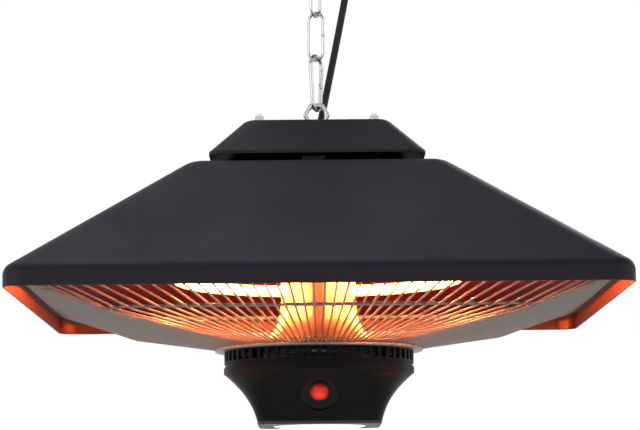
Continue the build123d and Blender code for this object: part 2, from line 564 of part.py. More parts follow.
right, left = lamp_end(1), lamp_end(-1)
lamp_line = Line(right[3], right[2]) + ThreePointArc(right[2], right[1], right[0])
lamp_line += ThreePointArc(right[0], (0, LAMP_RADIUS, LAMP_HEIGHT), left[0])
lamp_line += ThreePointArc(left[0], left[1], left[2]) + Line(left[2], left[3])
lamp_bore = LAMP_TUBE - 2 * LAMP_GLASS
filament = pipe(lamp_line, FILAMENT)
lamp_gap = math.degrees(math.asin(END_X / LAMP_RADIUS))
for number in range(FILAMENT_DISCS):
    turn = lamp_gap - 90 + (360 - 2 * lamp_gap) * (number + 1) / (FILAMENT_DISCS + 1)
    disc = Pos(LAMP_RADIUS, 0, LAMP_HEIGHT) * Rot(90, 0, 0) * Cylinder((lamp_bore - 2 * CLEARANCE) / 2, FILAMENT_DISC)
    filament += Rot(0, 0, turn) * disc
PARTS["lamp_tube"] = [pipe(lamp_line, LAMP_TUBE, lamp_bore)]
PARTS["lamp_filament"] = [filament]

# Lamp fittings: ceramic caps in a steel plate, and three spring clips under the reflector
CAP_BOTTOM = LAMP_TOP - LAMP_CAP_DEPTH
CAP_TOP = CAP_BOTTOM + LAMP_CAP_HEIGHT
CAP_PLACES = [(end[3].X, end[3].Y) for end in (left, right)]
under_tray = reflector_block(REFLECTOR_SHEET + CLEARANCE)
plate_z = CAP_BOTTOM + LAMP_PLATE_RISE
plate_width = LAMP_END_SPACING + LAMP_CAP + 2 * LAMP_PLATE_MARGIN
plate_y = CAP_PLACES[0][1]
lamp_plate = Pos(0, plate_y, plate_z) * Box(plate_width, LAMP_CAP + LAMP_PLATE_MARGIN, BRACKET_SHEET, align=MIN_Z)
for side in (-1, 1):
    leg = Pos(side * (plate_width - BRACKET_SHEET) / 2, plate_y, plate_z)
    lamp_plate += leg * Box(BRACKET_SHEET, LAMP_CAP + LAMP_PLATE_MARGIN, 4 * LAMP_PLATE_RISE, align=MIN_Z) & under_tray
PARTS["lamp_caps"] = []
for x, y in CAP_PLACES:
    cap = rod(LAMP_CAP, CAP_BOTTOM, CAP_TOP, x, y) - rod(LAMP_TUBE + 2 * CLEARANCE, CAP_BOTTOM, LAMP_TOP + SEAT, x, y)
    PARTS["lamp_caps"].append(cap - rod(LEAD + 2 * CLEARANCE, CAP_BOTTOM, CAP_TOP, x, y))
    lamp_plate -= rod(LAMP_CAP + 2 * CLEARANCE, plate_z, CAP_TOP, x, y)
PARTS["lamp_plate"] = [lamp_plate]
clip_bore = LAMP_TUBE + 2 * CLEARANCE
clip_outer = clip_bore + 2 * BRACKET_SHEET
clip = Circle(clip_outer / 2) - Circle(clip_bore / 2)
clip -= Pos(-clip_outer / 2, 0) * Rectangle(clip_outer, clip_outer * math.sin(math.radians(LAMP_CLIP_MOUTH / 2)))
strap_x = (clip_bore + BRACKET_SHEET) / 2
clip += Pos(strap_x, REFLECTOR_RISE / 2) * Rectangle(BRACKET_SHEET, REFLECTOR_RISE)
clip_solid = Rot(90, 0, 0) * extrude(clip, LAMP_CLIP_WIDTH / 2, both=True)
placed_clips = [Rot(0, 0, turn) * Pos(LAMP_RADIUS, 0, LAMP_HEIGHT) * clip_solid for turn in (0, 90, 180)]
PARTS["lamp_clips"] = [placed & under_tray for placed in placed_clips]

# Wiring between the terminal block, the lamp and the pod
tie_top = REFLECTOR_TOP + TIE_NUT_HEIGHT + TIE_END
PARTS["lamp_leads"] = []
for (x, y), side in zip(CAP_PLACES, (-1, 1)):
    over = Vector(x, y, tie_top + 2 * LEAD)
    turn_down = Vector(BLOCK_X + side * TERMINAL_WIDTH / 4, BLOCK_Y, BLOCK_BOTTOM)
    under_vent = Vector(turn_down.X, BLOCK_Y, over.Z)
    route = FilletPolyline((x, y, LAMP_TOP + SEAT), over, under_vent, turn_down - Vector(0, 0, SEAT), radius=3 * LEAD)
    PARTS["lamp_leads"].append(pipe(route, LEAD))
    reflector -= rod(LEAD + 4 * CLEARANCE, CAP_TOP, REFLECTOR_TOP, x, y)

# Guard: radial wires under a rim, a square brace and a hub ring, all welded where they cross
FOOT_HEIGHT = POD_RING_TOP + GUARD_WIRE / 2 + SEAT
RIM_WIRE_Z = GUARD_RIM_HEIGHT + (GUARD_WIRE + GUARD_RIM_WIRE) / 2 + SEAT
guard_wires = []
for number in range(GUARD_WIRES):
    angle = 2 * math.pi * (number + 0.5) / GUARD_WIRES
    reaches = (square_reach(GUARD_RIM_WIDTH, GUARD_RIM_CORNER, angle),
               square_reach(GUARD_BEND_WIDTH, GUARD_BEND_CORNER, angle), GUARD_FOOT_RADIUS, GUARD_END_RADIUS)
    heights = (GUARD_RIM_HEIGHT, GUARD_BEND_HEIGHT, FOOT_HEIGHT, FOOT_HEIGHT)
    line = [Vector(r * math.cos(angle), r * math.sin(angle), z) for r, z in zip(reaches, heights)]
    guard_wires.append(pipe(FilletPolyline(line, radius=[GUARD_BEND_RADIUS, GUARD_FOOT_BEND]), GUARD_WIRE))
brace_z = GUARD_BEND_HEIGHT + (GUARD_WIRE + GUARD_BRACE_WIRE) / 2 + 2 * CLEARANCE
hub_z = FOOT_HEIGHT + (GUARD_WIRE + GUARD_HUB_WIRE) / 2 + SEAT


def square_hoop(width, corner, z, wire):
    """A wire hoop bent to a rounded square."""
    outline = Pos(0, 0, z) * RectangleRounded(width, width, corner)
    return pipe(outline.wire(), wire)


PARTS["guard_wires"] = guard_wires
rim = square_hoop(GUARD_RIM_WIDTH - GUARD_RIM_WIRE, GUARD_RIM_CORNER, RIM_WIRE_Z, GUARD_RIM_WIRE)
brace = square_hoop(GUARD_BEND_WIDTH, GUARD_BEND_CORNER, brace_z, GUARD_BRACE_WIRE)
hub = Pos(0, 0, hub_z) * Torus(GUARD_HUB_RADIUS, GUARD_HUB_WIRE / 2)
PARTS["guard_hoops"] = [rim, brace, hub]

# Column: a polished tube under the reflector, over a trumpet-shaped foot on the pod's lid
LID_TOP = POD_RING_TOP + POD_LID
SLEEVE = COLUMN + 2 * COLUMN_SHEET + 2 * CLEARANCE
flare_top = COLUMN_SEAM - FLARE_STRAIGHT


def flare_outline(radius, foot):
    """The trumpet's outline at one side of its sheet, from the axis out."""
    line = Polyline((0, LID_TOP), (0, COLUMN_SEAM), (radius, COLUMN_SEAM), (radius, flare_top))
    line += TangentArc((radius, flare_top), (foot, LID_TOP), tangent=(0, -1))
    line += Line((foot, LID_TOP), (0, LID_TOP))
    return Plane.XZ * make_face(line)


flare_block = revolve(flare_outline(SLEEVE / 2, FLARE_FOOT_RADIUS), Axis.Z)
flare_hollow = revolve(flare_outline(SLEEVE / 2 - COLUMN_SHEET, FLARE_FOOT_RADIUS - COLUMN_SHEET), Axis.Z)
PARTS["column"] = [tube(COLUMN, COLUMN - 2 * COLUMN_SHEET, LID_TOP + SEAT, REFLECTOR_UNDER - SEAT)]
PARTS["column_foot"] = [flare_block - flare_hollow]

# Control pod: a silver ring and a lid carry the slotted collar and the flared body
RING_BOTTOM = POD_RING_TOP - POD_RING_HEIGHT
COLLAR_BOTTOM = RING_BOTTOM - POD_COLLAR_HEIGHT
LIP_BOTTOM = COLLAR_BOTTOM - POD_LIP_HEIGHT
POD_BASE = LIP_BOTTOM - POD_FLARE_HEIGHT
SCREW_PLACES = [(x * POD_BOSS_RADIUS * math.sqrt(0.5), y * POD_BOSS_RADIUS * math.sqrt(0.5)) for x, y in CORNERS]
pod_ring = rod(2 * POD_RING_RADIUS, RING_BOTTOM, POD_RING_TOP)
pod_ring = fillet(pod_ring.edges().filter_by(GeomType.CIRCLE), POD_RING_EDGE) - rod(2 * POD_RING_INNER, RING_BOTTOM, POD_RING_TOP)
pod_lid = rod(2 * POD_LID_RADIUS, POD_RING_TOP, LID_TOP)
pod_lid -= rod(TIE_ROD + 2 * CLEARANCE, POD_RING_TOP, LID_TOP)
pod_lid -= rod(POD_CABLE + 4 * CLEARANCE, POD_RING_TOP, LID_TOP, BLOCK_X, BLOCK_Y)


def boss(x, y, z0, z1, diameter):
    """A screw boss with the rib that joins it to the wall outside it."""
    reach = math.hypot(x, y)
    rib = Rot(0, 0, math.degrees(math.atan2(y, x))) * Pos(reach, 0, z0) * Box(
        4 * diameter, diameter / 2, z1 - z0, align=(Align.MIN, Align.CENTER, Align.MIN))
    return rod(diameter, z0, z1, x, y) + rib


POD_INNER = POD_RADIUS - POD_WALL
collar = tube(2 * POD_RADIUS, 2 * POD_INNER, COLLAR_BOTTOM, RING_BOTTOM)
groove_bottom = COLLAR_BOTTOM + POD_GROOVE_DEPTH
collar -= tube(2 * POD_RADIUS, 2 * (POD_RADIUS - POD_GROOVE_DEPTH), groove_bottom, groove_bottom + POD_GROOVE_HEIGHT)
slot_width = 2 * math.pi * POD_RADIUS / POD_SLOTS * POD_SLOT_SHARE
slot_z = RING_BOTTOM - POD_SLOT_TOP - POD_SLOT_HEIGHT
slots = []
for number in range(POD_SLOTS):
    cut = Pos(POD_RADIUS, 0, slot_z) * Box(4 * POD_WALL, slot_width, POD_SLOT_HEIGHT, align=MIN_Z)
    slots.append(Rot(0, 0, 360 * (number + 0.5) / POD_SLOTS) * cut)
collar -= slots
pod_core = rod(2 * POD_INNER + POD_WALL, COLLAR_BOTTOM, RING_BOTTOM)


def flare_section(share, inset):
    """The pod's outline at one share of the way down its flare: a circle turning to a rounded square."""
    top_half, base_half = POD_RADIUS, POD_BASE_WIDTH / 2
    chord = math.hypot(top_half - base_half, POD_FLARE_HEIGHT)
    sag = 4 * POD_FLARE_SAG * share * (1 - share)
    half = top_half + (base_half - top_half) * share - sag * POD_FLARE_HEIGHT / chord
    z = LIP_BOTTOM - POD_FLARE_HEIGHT * share + sag * (top_half - base_half) / chord
    roundness = (1 - share) ** 2
    corner = POD_BASE_CORNER + (half - POD_BASE_CORNER - POD_TOP_FLAT / 2) * roundness
    return half - inset, corner - inset, z


def flare_solid(inset):
    """The flared block of the pod, or with an inset the hollow inside its wall."""
    faces = []
    for step in range(POD_SECTIONS + 1):
        half, corner, z = flare_section(step / POD_SECTIONS, inset)
        faces.append(rounded_square(2 * half, corner, z))
    return loft(faces)


pod_block = flare_solid(0) + rod(2 * (POD_RADIUS + POD_LIP_STAND), LIP_BOTTOM, COLLAR_BOTTOM)
pod_hollow = flare_solid(POD_WALL) + rod(2 * (POD_INNER - POD_LIP_STAND), LIP_BOTTOM, COLLAR_BOTTOM)
pod_body = pod_block - pod_hollow
frame_places = [(x * FRAME_SCREW_RADIUS * math.sqrt(0.5), y * FRAME_SCREW_RADIUS * math.sqrt(0.5)) for x, y in CORNERS]
for x, y in SCREW_PLACES:
    collar += boss(x, y, COLLAR_BOTTOM, RING_BOTTOM, POD_BOSS) & pod_core
    pod_body += boss(x, y, LIP_BOTTOM, COLLAR_BOTTOM, POD_BOSS) & pod_block
for x, y in frame_places:
    pod_body += boss(x, y, POD_BASE, POD_BASE + FRAME_BOSS_HEIGHT, FRAME_BOSS) & pod_block
PARTS["pod_screws"] = []
screw_hole = POD_SCREW + 2 * SEAT
for x, y in SCREW_PLACES:
    hole = rod(screw_hole, LIP_BOTTOM, LID_TOP, x, y)
    pod_ring -= hole
    pod_lid -= hole
    collar -= hole
    pod_body -= hole
    head = rod(POD_SCREW_HEAD, LID_TOP, LID_TOP + POD_SCREW_HEAD_HEIGHT, x, y)
    PARTS["pod_screws"].append(head + rod(POD_SCREW, LIP_BOTTOM + POD_SCREW / 2, LID_TOP, x, y))
PARTS["pod_ring"] = [pod_ring]
PARTS["pod_lid"] = [pod_lid]
PARTS["pod_collar"] = [collar]

# Bottom frame, light diffuser and light board
FRAME_BOTTOM = POD_BASE - POD_FRAME
frame = extrude(rounded_square(POD_BASE_WIDTH, POD_BASE_CORNER, FRAME_BOTTOM), POD_FRAME)
frame = fillet(edges_at(frame, FRAME_BOTTOM), POD_FRAME_EDGE)
frame -= rod(2 * (DIFFUSER_RADIUS + CLEARANCE), FRAME_BOTTOM, POD_BASE)
PARTS["frame_screws"] = []
for x, y in frame_places:
    pod_body -= rod(FRAME_SCREW + 2 * SEAT, POD_BASE, POD_BASE + FRAME_BOSS_HEIGHT, x, y)
    frame -= rod(FRAME_SCREW + 2 * CLEARANCE, FRAME_BOTTOM, POD_BASE, x, y)
    frame -= rod(FRAME_SCREW_HEAD + 2 * CLEARANCE, FRAME_BOTTOM, FRAME_BOTTOM + FRAME_SCREW_HEAD_HEIGHT, x, y)
    head = rod(FRAME_SCREW_HEAD, FRAME_BOTTOM, FRAME_BOTTOM + FRAME_SCREW_HEAD_HEIGHT, x, y)
    PARTS["frame_screws"].append(head + rod(FRAME_SCREW, FRAME_BOTTOM, POD_BASE + FRAME_BOSS_HEIGHT - SEAT, x, y))
PARTS["pod_frame"] = [frame]


def bowl(radius, drop):
    """The arc of a shallow bowl that hangs below the frame, from its middle out to its rim."""
    ball = (radius ** 2 + drop ** 2) / (2 * drop)
    spread = math.degrees(math.asin(radius / ball))
    return CenterArc((0, FRAME_BOTTOM - drop + ball), ball, 270, spread)


FLANGE_TOP = POD_BASE + SEAT + DIFFUSER_WALL
flange_radius = DIFFUSER_RADIUS + DIFFUSER_FLANGE
inner_radius = DIFFUSER_RADIUS - DIFFUSER_WALL
outer_bowl = bowl(DIFFUSER_RADIUS, DIFFUSER_DROP)
inner_bowl = bowl(inner_radius, DIFFUSER_DROP - DIFFUSER_WALL)
diffuser_line = outer_bowl + Polyline(outer_bowl @ 1, (DIFFUSER_RADIUS, POD_BASE), (flange_radius, POD_BASE),
                                      (flange_radius, FLANGE_TOP), (inner_radius, FLANGE_TOP), inner_bowl @ 1)
diffuser_line += inner_bowl + Line(inner_bowl @ 0, outer_bowl @ 0)
diffuser = revolve(Plane.XZ * make_face(diffuser_line), Axis.Z)
board_bottom = FLANGE_TOP
led_board = rod(2 * flange_radius, board_bottom, board_bottom + LED_BOARD)
leds = []
for radius, count in LED_RINGS:
    for number in range(count):
        chip = Pos(radius, 0, board_bottom - LED_HEIGHT) * Box(LED_SIZE, LED_SIZE, LED_HEIGHT, align=MIN_Z)
        leds.append(Rot(0, 0, 360 * number / count) * chip)
PARTS["light_diffuser"] = [diffuser]
PARTS["light_board"] = [led_board]
PARTS["light_chips"] = leds

# Sensor lens: a red dome in a dished black bezel, set square to the pod's front wall
bezel_half, _, bezel_z = flare_section(BEZEL_PLACE, 0)
near_half, _, near_z = flare_section(BEZEL_PLACE - SEAT, 0)
wall_lean = math.atan2(near_half - bezel_half, near_z - bezel_z)
outward = Vector(0, -math.cos(wall_lean), -math.sin(wall_lean))
bezel_frame = Plane(origin=(0, -bezel_half, bezel_z), x_dir=(1, 0, 0), z_dir=outward).location


def plug(diameter, z0, z1):
    """A round piece square to the pod's front wall, from one depth to another."""
    return bezel_frame * Pos(0, 0, z0) * Cylinder(diameter / 2, z1 - z0, align=MIN_Z)


pod_body -= plug(BEZEL + 2 * CLEARANCE, -4 * POD_WALL, 4 * POD_WALL)
bezel = plug(BEZEL, -BEZEL_DEPTH, BEZEL_STAND)
dish_floor = BEZEL_STAND - BEZEL_DISH
rim = BEZEL / 2 - BEZEL_FLANGE
dish = bezel_frame * Pos(0, 0, dish_floor) * Cone(LENS / 2 + BEZEL_FLANGE, rim, BEZEL_DISH, align=MIN_Z)
bezel = bezel - dish - plug(LENS + 2 * SEAT, -BEZEL_DEPTH, dish_floor)
back = -BEZEL_DEPTH - BEZEL_FLANGE
bezel += plug(BEZEL + 2 * BEZEL_FLANGE, back, -BEZEL_DEPTH) - plug(LENS + 2 * SEAT, back, -BEZEL_DEPTH)
dome_radius = ((LENS / 2) ** 2 + LENS_DOME ** 2) / (2 * LENS_DOME)
lens = plug(LENS, dish_floor - LENS_STEM, dish_floor)
cap_sphere = bezel_frame * Pos(0, 0, dish_floor + LENS_DOME - dome_radius) * Sphere(dome_radius)
lens += cap_sphere & plug(LENS, dish_floor, dish_floor + LENS_DOME)
PARTS["pod_body"] = [pod_body]
PARTS["lens_bezel"] = [bezel]
PARTS["sensor_lens"] = [lens]
PARTS["sensor_board"] = [plug(BEZEL, back - SEAT - LED_BOARD, back - SEAT)]

# Tie rod: it clamps the column and pod to the reflector and carries the control board
BOARD_TOP = LID_TOP - CONTROL_BOARD_DROP
BOARD_BOTTOM = BOARD_TOP - CONTROL_BOARD
board = rod(2 * CONTROL_BOARD_RADIUS, BOARD_BOTTOM, BOARD_TOP) - rod(TIE_ROD + 2 * CLEARANCE, BOARD_BOTTOM, BOARD_TOP)
nut_heights = (REFLECTOR_TOP, POD_RING_TOP - TIE_NUT_HEIGHT, BOARD_TOP, BOARD_BOTTOM - TIE_NUT_HEIGHT)
tie_nuts = [hex_nut(TIE_NUT_FLATS, TIE_ROD + 2 * SEAT, z, TIE_NUT_HEIGHT) for z in nut_heights]
tie_bottom = BOARD_BOTTOM - TIE_NUT_HEIGHT - TIE_END
parts_y = CONTROL_BOARD_RADIUS / 2
PARTS["tie_rod"] = [rod(TIE_ROD, tie_bottom, tie_top)]
PARTS["tie_nuts"] = tie_nuts
PARTS["control_board"] = [board]
PARTS["transformer"] = [Pos(0, -parts_y, BOARD_TOP) * Box(*TRANSFORMER, align=MIN_Z)]
PARTS["relays"] = [Pos(side * RELAY[0], parts_y + RELAY[1] / 2, BOARD_TOP) * Box(*RELAY, align=MIN_Z) for side in (-1, 1)]
PARTS["pod_cable"] = [rod(POD_CABLE, BOARD_TOP, BLOCK_BOTTOM - SEAT, BLOCK_X, BLOCK_Y)]

# Guard clips: bent straps through the reflector's edge, which hold the guard's rim up against it
clip_leg = GUARD_RIM_WIDTH / 2 + CLEARANCE
clip_low = RIM_WIRE_Z - GUARD_RIM_WIRE / 2 - CLEARANCE - GUARD_CLIP_SHEET
clip_high = REFLECTOR_EDGE_HEIGHT + REFLECTOR_SHEET + SEAT + GUARD_CLIP_SHEET
clip_place = clip_leg * math.tan(2 * math.pi * GUARD_CLIP_STEP / GUARD_WIRES)
clip_outline = Pos(clip_leg + GUARD_CLIP_SHEET - GUARD_CLIP_REACH / 2, (clip_low + clip_high) / 2)
clip_outline *= Rectangle(GUARD_CLIP_REACH, clip_high - clip_low)
clip_outline -= Pos(clip_leg - GUARD_CLIP_REACH / 2, (clip_low + clip_high) / 2) * Rectangle(
    GUARD_CLIP_REACH, clip_high - clip_low - 2 * GUARD_CLIP_SHEET)
guard_clip = extrude(Plane.XZ * clip_outline, GUARD_CLIP_WIDTH / 2, both=True)
clip_slot = Pos(clip_leg + GUARD_CLIP_SHEET / 2, 0, REFLECTOR_EDGE_HEIGHT) * Box(
    GUARD_CLIP_SHEET + 2 * CLEARANCE, GUARD_CLIP_WIDTH + 2 * CLEARANCE, 4 * REFLECTOR_SHEET)
PARTS["guard_clips"] = []
for turn in range(0, 360, 90):
    for side in (-1, 1):
        place = Rot(0, 0, turn) * Pos(0, side * clip_place, 0)
        PARTS["guard_clips"].append(place * guard_clip)
        reflector -= place * clip_slot
PARTS["reflector"] = [reflector]

# Write every piece, moved down so that the ceiling is at zero
os.makedirs("parts", exist_ok=True)
for name, solids in PARTS.items():
    pieces = [Pos(0, 0, -CEILING) * solid for piece in solids for solid in piece.solids()]
    shape = pieces[0] if len(pieces) == 1 else Compound(children=pieces)
    export_step(shape, f"parts/{name}.step")
print(f"{len(PARTS)} nodes, ceiling {CEILING:.2f} above the skirt, lowest point {FRAME_BOTTOM - DIFFUSER_DROP - CEILING:.2f}")
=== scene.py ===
import math

import bmesh
import bpy
from mathutils import Matrix, Vector


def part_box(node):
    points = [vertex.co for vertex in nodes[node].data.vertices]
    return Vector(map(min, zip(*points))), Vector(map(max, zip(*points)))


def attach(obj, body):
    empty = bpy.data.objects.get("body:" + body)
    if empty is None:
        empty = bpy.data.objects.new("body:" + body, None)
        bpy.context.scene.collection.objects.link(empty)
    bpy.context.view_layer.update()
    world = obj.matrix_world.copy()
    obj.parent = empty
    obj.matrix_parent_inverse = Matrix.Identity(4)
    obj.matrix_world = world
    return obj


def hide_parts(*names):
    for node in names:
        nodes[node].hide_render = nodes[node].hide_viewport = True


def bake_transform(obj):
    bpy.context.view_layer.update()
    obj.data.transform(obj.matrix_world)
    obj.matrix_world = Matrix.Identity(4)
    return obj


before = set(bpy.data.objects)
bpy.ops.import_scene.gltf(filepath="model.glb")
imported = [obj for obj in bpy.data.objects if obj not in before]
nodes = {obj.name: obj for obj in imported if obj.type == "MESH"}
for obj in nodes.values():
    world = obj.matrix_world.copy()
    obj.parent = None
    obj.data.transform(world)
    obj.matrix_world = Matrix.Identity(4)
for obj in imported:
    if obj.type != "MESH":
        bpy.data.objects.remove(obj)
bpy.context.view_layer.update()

# Camera
# The photograph looks at the heater's front from 2.7 m away and a little below, tilted up by 7 degrees.
# The picture's width takes in 14 degrees, so the view is that of a long lens.
PHOTO_WIDTH = 640
FOCAL_PIXELS = 2626.3
FILM_WIDTH = 36.0
CAMERA_PLACE = (-0.01014, -2.7471, -0.65143)
PITCH, YAW, ROLL = 0.12204, -0.004639, 0.010012
NEAREST, FARTHEST = 0.1, 60.0


def put(name, data):
    """Puts a lens, a lamp, a curve or a mesh into the scene as an object."""
    made = bpy.data.objects.new(name, data)
    bpy.context.scene.collection.objects.link(made)
    return made


lens = bpy.data.cameras.new("camera")
lens.sensor_width = FILM_WIDTH
lens.lens = FILM_WIDTH * FOCAL_PIXELS / PHOTO_WIDTH
lens.clip_start = NEAREST
lens.clip_end = FARTHEST
camera = put("camera", lens)
aim = Matrix.Rotation(YAW, 4, "Z") @ Matrix.Rotation(PITCH, 4, "X") @ Matrix.Rotation(ROLL, 4, "Y")
camera.matrix_world = Matrix.Translation(CAMERA_PLACE) @ aim @ Matrix.Rotation(math.pi / 2, 4, "X")
bpy.context.scene.camera = camera
bpy.context.scene.view_settings.view_transform = "Standard"

# Studio
# A pale floor lies far below the hanging heater. The camera, gloss and glass see a white surround, which
# gloss finds greyer overhead. Four soft lamps light the heater: overhead, front left, right and back.
FLOOR_DROP = 9.0
FLOOR_SIZE = 60.0
FLOOR_SEEN = (0.82, 0.82, 0.82, 1.0)
FLOOR_PAINT = (0.86, 0.86, 0.86, 1.0)
FLOOR_ROUGHNESS = 0.9
ROOM_LIGHT = 0.3
WHITE = (1.0, 1.0, 1.0)
OVERHEAD_GREY = (0.22, 0.22, 0.22)
GREY_FROM, GREY_TO = 0.25, 0.75
STUDIO_LAMPS = (
    ("overhead", (-0.3, -0.1, 0.95), (0.0, -0.1, -0.33), 1.3, 5.6),
    ("front_left", (-2.1, -2.5, 0.4), (0.0, 0.0, -0.35), 1.4, 17.0),
    ("right", (2.6, -1.4, 0.0), (0.0, 0.0, -0.35), 1.2, 6.0),
    ("back", (1.2, 2.7, 0.9), (0.0, 0.0, -0.35), 1.4, 16.0),
)


def between(tree, value, low, high, start=0.3, stop=0.7):
    """A number or a colour that goes from low to high as a pattern goes from start to stop."""
    if isinstance(low, tuple):
        ramp = tree.nodes.new("ShaderNodeValToRGB")
        ends = ramp.color_ramp.elements
        ends[0].position, ends[1].position = start, stop
        ends[0].color, ends[1].color = (*low, 1), (*high, 1)
        tree.links.new(value, ramp.inputs["Fac"])
        return ramp.outputs["Color"]
    spread = tree.nodes.new("ShaderNodeMapRange")
    for socket, number in zip(("From Min", "From Max", "To Min", "To Max"), (start, stop, low, high)):
        spread.inputs[socket].default_value = number
    tree.links.new(value, spread.inputs["Value"])
    return spread.outputs["Result"]


def mixed(tree, kind, share, first, second):
    """A number or a colour that goes from the first to the second as the share goes from 0 to 1."""
    mix = tree.nodes.new("ShaderNodeMix")
    mix.data_type = kind
    tree.links.new(share, mix.inputs["Factor"])
    for end, value in (("A", first), ("B", second)):
        if isinstance(value, bpy.types.NodeSocket):
            tree.links.new(value, mix.inputs[end])
        else:
            mix.inputs[end].default_value = value
    return mix.outputs["Result"]


def white_surround(tree, plain, output, seen):
    """Gives the seen shader to the camera, gloss and glass, and the plain one to all other light."""
    path = tree.nodes.new("ShaderNodeLightPath")
    looks = path.outputs["Is Camera Ray"]
    for kind in ("Is Transmission Ray", "Is Glossy Ray"):
        either = tree.nodes.new("ShaderNodeMath")
        either.operation = "MAXIMUM"
        tree.links.new(looks, either.inputs[0])
        tree.links.new(path.outputs[kind], either.inputs[1])
        looks = either.outputs[0]
    mix = tree.nodes.new("ShaderNodeMixShader")
    tree.links.new(looks, mix.inputs["Fac"])
    tree.links.new(plain.outputs[0], mix.inputs[1])
    tree.links.new(seen.outputs[0], mix.inputs[2])
    tree.links.new(mix.outputs[0], output.inputs["Surface"])


world = bpy.data.worlds.new("studio")
world.use_nodes = True
bpy.context.scene.world = world
sky = world.node_tree
room = sky.nodes["Background"]
room.inputs["Color"].default_value = (*WHITE, 1)
room.inputs["Strength"].default_value = ROOM_LIGHT
walls = sky.nodes.new("ShaderNodeBackground")
direction = sky.nodes.new("ShaderNodeTexCoord").outputs["Generated"]
height = sky.nodes.new("ShaderNodeSeparateXYZ")
sky.links.new(direction, height.inputs[0])
shade = between(sky, height.outputs["Z"], WHITE, OVERHEAD_GREY, GREY_FROM, GREY_TO)
by_gloss = sky.nodes.new("ShaderNodeLightPath").outputs["Is Glossy Ray"]
sky.links.new(mixed(sky, "RGBA", by_gloss, (*WHITE, 1), shade), walls.inputs["Color"])
white_surround(sky, room, sky.nodes["World Output"], walls)

floor_mesh = bmesh.new()
bmesh.ops.create_grid(floor_mesh, x_segments=1, y_segments=1, size=FLOOR_SIZE / 2,
                      matrix=Matrix.Translation((0, 0, -FLOOR_DROP)))
floor_data = bpy.data.meshes.new("floor")
floor_mesh.to_mesh(floor_data)
floor_mesh.free()
floor = put("floor", floor_data)
floor_paint = bpy.data.materials.new("floor_paint")
floor_paint.use_nodes = True
floor_tree = floor_paint.node_tree
floor_skin = floor_tree.nodes["Principled BSDF"]
floor_skin.inputs["Base Color"].default_value = FLOOR_PAINT
floor_skin.inputs["Roughness"].default_value = FLOOR_ROUGHNESS
floor_glow = floor_tree.nodes.new("ShaderNodeEmission")
floor_glow.inputs["Color"].default_value = FLOOR_SEEN
white_surround(floor_tree, floor_skin, floor_tree.nodes["Material Output"], floor_glow)
floor_data.materials.append(floor_paint)

for name, place, target, size, power in STUDIO_LAMPS:
    glow = bpy.data.lights.new(name, "AREA")
    glow.shape = "SQUARE"
    glow.size = size
    glow.energy = power
    lamp = put(name, glow)
    turn = (Vector(target) - Vector(place)).to_track_quat("-Z", "Y")
    lamp.matrix_world = Matrix.Translation(place) @ turn.to_matrix().to_4x4()
    lamp.visible_camera = False

# Power cord
# A round black rubber mains cord, held taut between the grommet in the hood and the gland in the ceiling
# rose. It leans by 12 degrees and bends upright just below the gland. Its sheath has faint drawn streaks.
CORD = 0.0075
CORD_ROUTE = ((0.003663, 0.021, -0.215575), (0.037582, 0.021, -0.056), (0.037582, 0.021, -0.042))
ROUTE_STEPS = 32
ROUND_STEPS = 8
SEAM_GAP = 0.000001
GRAIN_DETAIL = 3.0
CORD_BLACK = (0.011, 0.011, 0.0115)
CORD_STREAK = (1.0, 1.0, 0.03)


def grain_of(tree, place, size):
    """A cloudy pattern whose spots are about one size across."""
    cloud = tree.nodes.new("ShaderNodeTexNoise")
    cloud.inputs["Scale"].default_value = 1 / size
    cloud.inputs["Detail"].default_value = GRAIN_DETAIL
    tree.links.new(place, cloud.inputs["Vector"])
    return cloud.outputs["Fac"]


def finish(name, colour, roughness, metallic=0.0, drift=0.12, patch=0.04, grain=0.0006, relief=0.00002,
           stretch=(1, 1, 1), gloss_drift=0.06):
    """A finish whose colour and gloss drift a little from patch to patch, over a fine grain in relief."""
    made = bpy.data.materials.new(name)
    made.use_nodes = True
    tree = made.node_tree
    skin = tree.nodes["Principled BSDF"]
    skin.inputs["Metallic"].default_value = metallic
    stretched = tree.nodes.new("ShaderNodeMapping")
    stretched.inputs["Scale"].default_value = stretch
    tree.links.new(tree.nodes.new("ShaderNodeTexCoord").outputs["Object"], stretched.inputs["Vector"])
    place = stretched.outputs["Vector"]
    patches = grain_of(tree, place, patch)
    low = tuple(part * (1 - drift) for part in colour)
    high = tuple(part * (1 + drift) for part in colour)
    tree.links.new(between(tree, patches, low, high), skin.inputs["Base Color"])
    rough = between(tree, patches, roughness - gloss_drift, roughness + gloss_drift)
    tree.links.new(rough, skin.inputs["Roughness"])
    bump = tree.nodes.new("ShaderNodeBump")
    bump.inputs["Distance"].default_value = relief
    tree.links.new(grain_of(tree, place, grain), bump.inputs["Height"])
    tree.links.new(bump.outputs["Normal"], skin.inputs["Normal"])
    return made


def set_skin(material, **values):
    """Sets sockets of a finish's shader that are the same all over it."""
    for socket, value in values.items():
        material.node_tree.nodes["Principled BSDF"].inputs[socket.replace("_", " ")].default_value = value
    return material


def dress(material, *names):
    """Gives CAD nodes whose shape is right their finish."""
    for name in names:
        nodes[name].data.materials.clear()
        nodes[name].data.materials.append(material)


def mesh_of(curve):
    """The mesh that Blender makes of a curve."""
    holder = put("holder", curve)
    bpy.context.view_layer.update()
    data = bpy.data.meshes.new_from_object(holder)
    bpy.data.objects.remove(holder)
    return data


def tube_of(curve, material):
    """The closed mesh of a curve with a round bevel, its end caps joined to its wall."""
    data = mesh_of(curve)
    joined = bmesh.new()
    joined.from_mesh(data)
    bmesh.ops.remove_doubles(joined, verts=joined.verts[:], dist=SEAM_GAP)
    bmesh.ops.recalc_face_normals(joined, faces=joined.faces[:])
    joined.to_mesh(data)
    joined.free()
    data.materials.clear()
    data.materials.append(material)
    data.shade_smooth()
    return data


